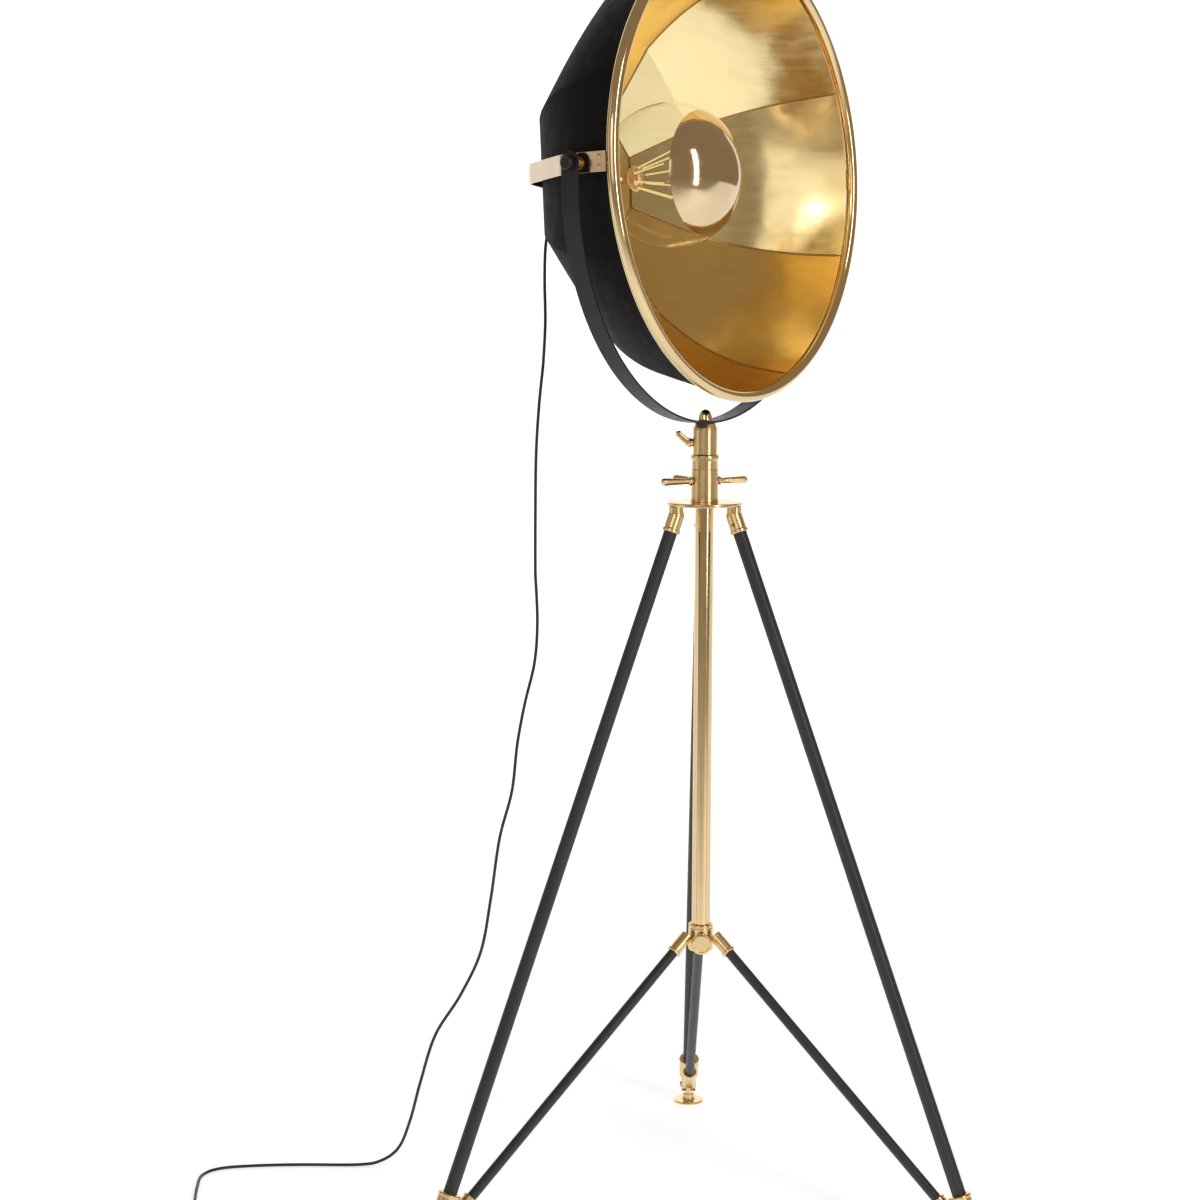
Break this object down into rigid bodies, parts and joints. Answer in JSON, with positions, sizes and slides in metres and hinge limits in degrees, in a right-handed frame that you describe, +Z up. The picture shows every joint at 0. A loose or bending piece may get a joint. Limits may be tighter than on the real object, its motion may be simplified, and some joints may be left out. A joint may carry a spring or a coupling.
{
  "type": "tripod floor lamp",
  "caption": "Tripod floor lamp: a tilting octagonal dish with a mirrored globe bulb in a U-shaped yoke on a sliding, turning mast.",
  "frame": {"origin": "on the floor, straight under the column's axis", "axes": "+Z up along the column, +X to the right, +Y away from the side that the lamp is usually seen from"},
  "size_m": [1.1243, 0.728, 1.7603],
  "materials": {
    "brass_satin": "turned, satin",
    "brass_polished": "polished",
    "gold_leaf": "polished, champagne gold",
    "black_paint": "satin powder coat",
    "shell_paint": "matt powder coat",
    "black_steel": "blackened",
    "glass": "clear",
    "mirror": "mirrored",
    "filament": "glossy, warm",
    "black_plastic": "moulded",
    "cord_pvc": "smooth PVC",
    "plated_steel": "nickel plated"
  },
  "bodies": {
    "stand": {"top_plate": "brass_satin", "clamp_barrel": "brass_satin", "column_tube": "brass_satin", "brace_hub": "brass_satin", "leg_socket_right": "brass_satin", "leg_socket_rear": "brass_satin", "leg_socket_left": "brass_satin", "socket_screws": "black_steel", "leg_right": "black_paint", "leg_rear": "black_paint", "leg_left": "black_paint", "brace_right": "black_paint", "brace_rear": "black_paint", "brace_left": "black_paint", "foot_fitting_right": "brass_satin", "foot_fitting_rear": "brass_satin", "foot_fitting_left": "brass_satin", "foot_pins": "brass_satin", "cord_lower": "cord_pvc", "cord_coil": "cord_pvc", "switch_case": "black_plastic", "plug": "black_plastic"},
    "mast": {"mast_tube": "brass_satin", "swivel_barrel": "brass_satin"},
    "yoke": {"yoke_bow": "black_paint", "yoke_spigot": "brass_satin", "acorn_nut": "brass_satin", "cord_middle": "cord_pvc"},
    "head": {"outer_shell": "shell_paint", "gore_1": "gold_leaf", "gore_2": "gold_leaf", "gore_3": "gold_leaf", "gore_4": "gold_leaf", "gore_5": "gold_leaf", "gore_6": "gold_leaf", "gore_7": "gold_leaf", "gore_8": "gold_leaf", "centre_plate": "gold_leaf", "rim_ring": "brass_polished", "back_band": "brass_satin", "pivot_bolts": "brass_satin", "lamp_holder": "black_plastic", "bulb_glass": "glass", "bulb_mirror": "mirror", "bulb_base": "plated_steel", "bulb_stem": "filament", "rear_housing": "black_paint", "cord_relief": "black_plastic", "cord_upper": "cord_pvc"},
    "clamp_lever_1": {"clamp_lever_1": "brass_satin"},
    "clamp_lever_2": {"clamp_lever_2": "brass_satin"},
    "clamp_lever_3": {"clamp_lever_3": "brass_satin"},
    "hub_knob": {"hub_knob": "brass_satin"},
    "swivel_lever": {"swivel_lever": "brass_satin"},
    "pivot_knob_near": {"pivot_knob_near": "brass_satin"},
    "pivot_knob_far": {"pivot_knob_far": "brass_satin"},
    "foot_right": {"foot_pad_right": "brass_satin"},
    "foot_rear": {"foot_pad_rear": "brass_satin"},
    "foot_left": {"foot_pad_left": "brass_satin"},
    "switch_button": {"switch_button": "black_plastic"}
  },
  "joints": [
    {"name": "mast_slide", "type": "slide", "parent": "stand", "child": "mast", "axis": [0, 0, 1], "range_m": [0, 0.3], "deforming": ["cord_lower"]},
    {"name": "yoke_turn", "type": "hinge", "parent": "mast", "child": "yoke", "pos_m": [0, 0, 1.0976], "axis": [0, 0, 1], "range_deg": [-90, 90], "deforming": ["cord_middle"]},
    {"name": "head_tilt", "type": "hinge", "parent": "yoke", "child": "head", "pos_m": [0, 0, 1.446], "axis": [0.5736, 0.8192, 0], "range_deg": [-87.5, 92.5], "deforming": ["cord_upper"]},
    {"name": "clamp_lever_1_turn", "type": "hinge", "parent": "stand", "child": "clamp_lever_1", "pos_m": [0, 0, 1.026], "axis": [0.9135, 0.4067, 0], "range_deg": [-180, 180]},
    {"name": "clamp_lever_2_turn", "type": "hinge", "parent": "stand", "child": "clamp_lever_2", "pos_m": [0, 0, 1.026], "axis": [-0.6157, 0.788, 0], "range_deg": [-180, 180]},
    {"name": "clamp_lever_3_turn", "type": "hinge", "parent": "stand", "child": "clamp_lever_3", "pos_m": [0, 0, 1.026], "axis": [-0.9272, -0.3746, 0], "range_deg": [-180, 180]},
    {"name": "hub_knob_turn", "type": "hinge", "parent": "stand", "child": "hub_knob", "pos_m": [0, 0, 0.376], "axis": [0, -1, 0], "range_deg": [-180, 180]},
    {"name": "swivel_lever_turn", "type": "hinge", "parent": "mast", "child": "swivel_lever", "pos_m": [0, 0, 1.079], "axis": [-0.9903, -0.1392, 0], "range_deg": [-180, 180]},
    {"name": "pivot_knob_near_turn", "type": "hinge", "parent": "head", "child": "pivot_knob_near", "pos_m": [0, 0, 1.446], "axis": [-0.5736, -0.8192, 0], "range_deg": [-180, 180]},
    {"name": "pivot_knob_far_turn", "type": "hinge", "parent": "head", "child": "pivot_knob_far", "pos_m": [0, 0, 1.446], "axis": [0.5736, 0.8192, 0], "range_deg": [-180, 180]},
    {"name": "foot_right_tilt", "type": "hinge", "parent": "stand", "child": "foot_right", "pos_m": [0.36027, -0.208, 0.028], "axis": [0.5, 0.866, 0], "range_deg": [-20, 20]},
    {"name": "foot_rear_tilt", "type": "hinge", "parent": "stand", "child": "foot_rear", "pos_m": [0, 0.416, 0.028], "axis": [-1, 0, 0], "range_deg": [-20, 20]},
    {"name": "foot_left_tilt", "type": "hinge", "parent": "stand", "child": "foot_left", "pos_m": [-0.36027, -0.208, 0.028], "axis": [0.5, -0.866, 0], "range_deg": [-20, 20]},
    {"name": "switch_press", "type": "slide", "parent": "stand", "child": "switch_button", "axis": [0, 0, -1], "range_m": [0, 0.0025], "stiffness_N_per_m": 800, "springref_m": -0.001}
  ]
}
